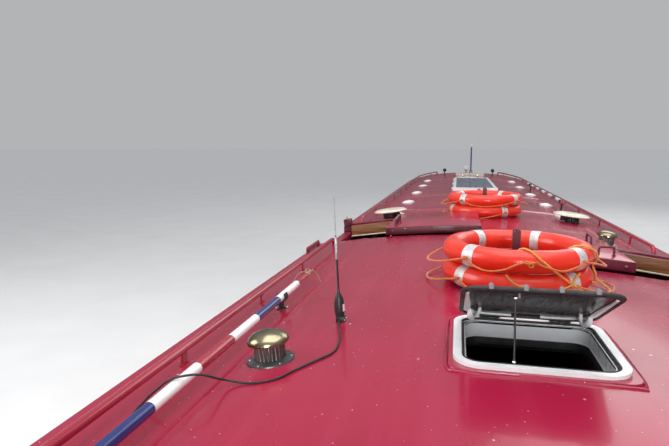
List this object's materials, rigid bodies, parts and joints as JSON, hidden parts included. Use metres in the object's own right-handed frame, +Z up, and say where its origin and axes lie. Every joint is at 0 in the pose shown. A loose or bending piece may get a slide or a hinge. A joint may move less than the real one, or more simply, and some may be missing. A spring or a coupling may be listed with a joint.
{
  "type": "narrowboat",
  "caption": "Steel narrowboat with a long cambered cabin roof, side hatches, open skylight, lifebuoys, poles, handrails and a tiller-steered stern.",
  "frame": {"origin": "middle of the whole length and beam, at the underside of the baseplate", "axes": "+Z up, +Y towards the bow, +X to starboard"},
  "size_m": [2.08, 14.1728, 2.48],
  "materials": {
    "hull_paint": "satin bitumen black",
    "baseplate_steel": "bitumen black",
    "crimson_paint": "gloss crimson",
    "deck_paint": "matt grip paint",
    "floor_board": "sealed ply",
    "varnished_wood": "gloss varnish",
    "engine_paint": "engine enamel",
    "brass_metal": "aged brass",
    "cream_paint": "gloss cream",
    "buoy_skin": "orange-red shell",
    "frame_plastic": "satin white",
    "smoked_acrylic": "smoked glaze in a dark rim",
    "stay_metal": "satin black",
    "pole_paint": "gloss paint bands",
    "rest_metal": "satin black",
    "panel_glaze": "glazed panel in a pale frame",
    "lamp_paint": "gloss white",
    "black_plastic": "satin black",
    "mast_paint": "painted tube",
    "lead_sheath": "satin black sheath",
    "connector_brass": "turned brass",
    "fender_rope": "woven rope"
  },
  "bodies": {
    "boat": {"hull_stern": "hull_paint", "hull_middle": "hull_paint", "hull_bow": "hull_paint", "baseplate": "baseplate_steel", "cabin_side_port": "crimson_paint", "cabin_side_starboard": "crimson_paint", "roof_aft": "crimson_paint", "roof_fore": "crimson_paint", "rear_bulkhead": "crimson_paint", "front_bulkhead": "crimson_paint", "handrail_aft_port": "crimson_paint", "handrail_aft_starboard": "crimson_paint", "handrail_fore_port": "crimson_paint", "handrail_fore_starboard": "crimson_paint", "rear_deck": "deck_paint", "cabin_floor": "floor_board", "hatch_header_port": "varnished_wood", "hatch_header_starboard": "varnished_wood", "engine_block": "engine_paint", "vent_port": "brass_metal", "vent_starboard": "brass_metal", "cowl_port": "cream_paint", "cowl_starboard": "cream_paint", "fore_box": "cream_paint", "lifebuoy_1": "buoy_skin", "lifebuoy_2": "buoy_skin", "lifebuoy_3": "buoy_skin", "lifebuoy_4": "buoy_skin", "lifebuoy_5": "buoy_skin", "skylight_frame": "frame_plastic", "pole_port": "pole_paint", "pole_starboard": "pole_paint", "pole_rest_port_1": "rest_metal", "pole_rest_port_2": "rest_metal", "pole_rest_starboard_1": "rest_metal", "pole_rest_starboard_2": "rest_metal", "solar_panel": "panel_glaze", "tunnel_lamp": "lamp_paint", "side_light_port": "black_plastic", "side_light_starboard": "black_plastic", "antenna": "black_plastic", "antenna_lead": "lead_sheath", "antenna_lead_coil": "lead_sheath", "antenna_connector": "connector_brass", "bow_fender": "fender_rope"},
    "rudder_gear": {"rudder": "baseplate_steel", "tiller": "brass_metal"},
    "propeller": {"propeller": "brass_metal"},
    "rear_door_port": {"rear_door_port": "varnished_wood"},
    "rear_door_starboard": {"rear_door_starboard": "varnished_wood"},
    "front_door_port": {"front_door_port": "varnished_wood"},
    "front_door_starboard": {"front_door_starboard": "varnished_wood"},
    "rear_hatch": {"rear_hatch": "crimson_paint"},
    "hatch_lid_port": {"hatch_lid_port": "crimson_paint"},
    "hatch_lid_starboard": {"hatch_lid_starboard": "crimson_paint"},
    "side_door_port": {"side_door_port": "crimson_paint"},
    "side_door_starboard": {"side_door_starboard": "crimson_paint"},
    "skylight_lid": {"skylight_lid": "smoked_acrylic"},
    "skylight_stay": {"skylight_stay": "stay_metal"},
    "mast": {"mast": "mast_paint"}
  },
  "joints": [
    {"name": "steering", "type": "hinge", "parent": "boat", "child": "rudder_gear", "pos_m": [0, -6.79636, 0.5], "axis": [0, 0, 1], "range_deg": [-40, 40]},
    {"name": "propeller_spin", "type": "hinge", "parent": "boat", "child": "propeller", "pos_m": [0, -6.45636, 0.3], "axis": [0, 1, 0], "continuous": true},
    {"name": "rear_door_port_hinge", "type": "hinge", "parent": "boat", "child": "rear_door_port", "pos_m": [-0.3107, -5.73756, 1.4], "axis": [0, 0, -1], "range_deg": [0, 165]},
    {"name": "rear_door_starboard_hinge", "type": "hinge", "parent": "boat", "child": "rear_door_starboard", "pos_m": [0.3107, -5.73756, 1.4], "axis": [0, 0, 1], "range_deg": [0, 165]},
    {"name": "front_door_port_hinge", "type": "hinge", "parent": "boat", "child": "front_door_port", "pos_m": [-0.2607, 4.26484, 1.2], "axis": [0, 0, 1], "range_deg": [0, 165]},
    {"name": "front_door_starboard_hinge", "type": "hinge", "parent": "boat", "child": "front_door_starboard", "pos_m": [0.2607, 4.26484, 1.2], "axis": [0, 0, -1], "range_deg": [0, 165]},
    {"name": "rear_hatch_hinge", "type": "hinge", "parent": "boat", "child": "rear_hatch", "pos_m": [0, -5.23136, 1.96645], "axis": [-1, 0, 0], "range_deg": [0, 100]},
    {"name": "hatch_lid_port_hinge", "type": "hinge", "parent": "boat", "child": "hatch_lid_port", "pos_m": [-0.018, -2.60136, 1.9688], "axis": [0, 1, 0], "range_deg": [0, 105]},
    {"name": "hatch_lid_starboard_hinge", "type": "hinge", "parent": "boat", "child": "hatch_lid_starboard", "pos_m": [0.018, -3.36136, 1.9688], "axis": [0, -1, 0], "range_deg": [0, 105]},
    {"name": "side_door_port_hinge", "type": "hinge", "parent": "boat", "child": "side_door_port", "pos_m": [-0.95447, -2.26566, 1.068], "axis": [-0.0302, 0, -0.9995], "range_deg": [0, 165]},
    {"name": "side_door_starboard_hinge", "type": "hinge", "parent": "boat", "child": "side_door_starboard", "pos_m": [0.95447, -3.08066, 1.068], "axis": [-0.0302, 0, 0.9995], "range_deg": [0, 165]},
    {"name": "skylight_lid_hinge", "type": "hinge", "parent": "boat", "child": "skylight_lid", "pos_m": [0.028, -4.45036, 1.984], "axis": [1, 0, 0], "range_deg": [0, 27]},
    {"name": "skylight_stay_hinge", "type": "hinge", "parent": "skylight_lid", "child": "skylight_stay", "pos_m": [-0.027, -4.73272, 2.11047], "axis": [1, 0, 0], "range_deg": [0, 67]},
    {"name": "mast_fold", "type": "hinge", "parent": "boat", "child": "mast", "pos_m": [0.06, 4.08364, 1.998], "axis": [1, 0, 0], "range_deg": [0, 90]}
  ],
  "couplings": [
    {"joint": "skylight_stay_hinge", "follows": "skylight_lid_hinge", "ratio": 2.481}
  ]
}
